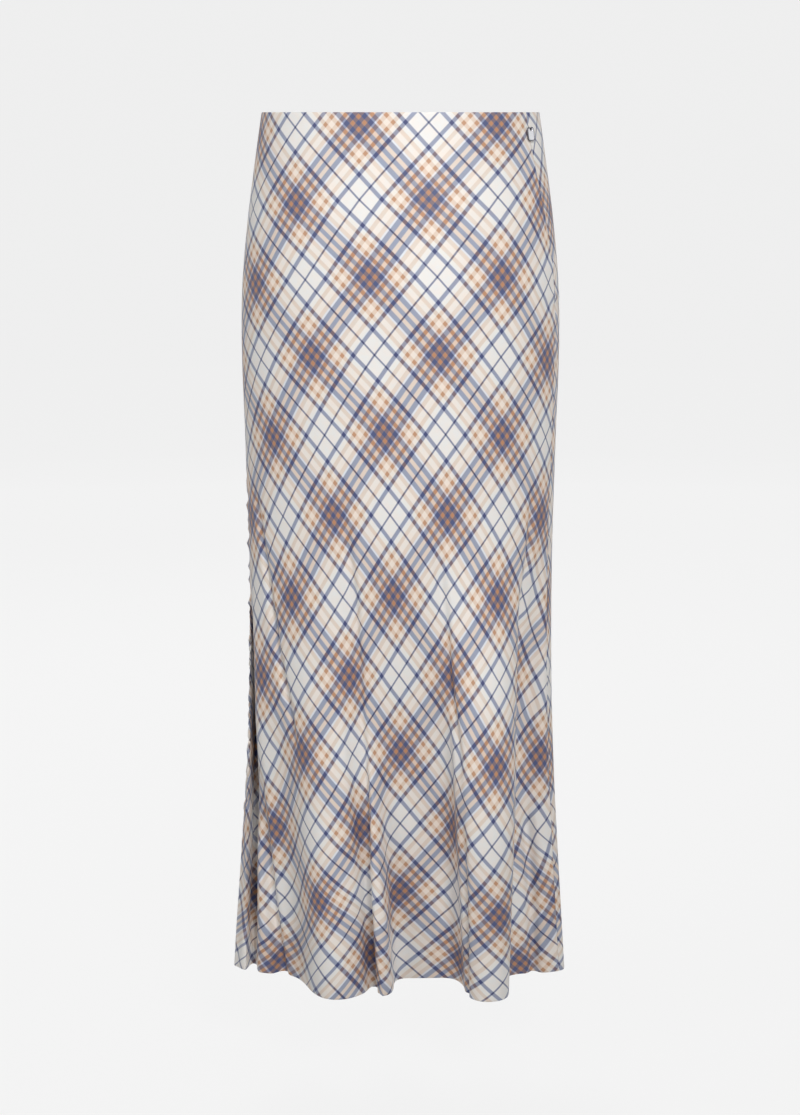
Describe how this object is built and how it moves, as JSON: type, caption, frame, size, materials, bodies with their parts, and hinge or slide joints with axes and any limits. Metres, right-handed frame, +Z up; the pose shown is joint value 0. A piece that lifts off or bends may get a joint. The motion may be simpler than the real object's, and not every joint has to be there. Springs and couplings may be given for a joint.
{
  "type": "bias-cut maxi skirt",
  "caption": "Long bias-cut slip skirt in a soft check satin, shown filled out and hanging, with a zip in one side seam.",
  "frame": {"origin": "centre of the waist opening, level with the top edge", "axes": "+Z up, towards the waist; the front faces -Y; +X is the wearer's left, where the zip is"},
  "size_m": [0.3632, 0.2413, 0.9348],
  "materials": {
    "cloth": "soft check satin, ivory with blue and tan",
    "tape": "plain woven zip tape",
    "zip_metal": "polished silver-coloured"
  },
  "bodies": {
    "skirt": {"front_panel": "cloth", "back_panel": "cloth", "zip_tape": "tape", "zip_slider": "zip_metal"},
    "pull": {"zip_pull": "zip_metal"}
  },
  "joints": [
    {"name": "pull_hinge", "type": "hinge", "parent": "skirt", "child": "pull", "pos_m": [0.13338, -0.04577, -0.01672], "axis": [-0.595, -0.8037, 0], "range_deg": [0, 160]}
  ]
}
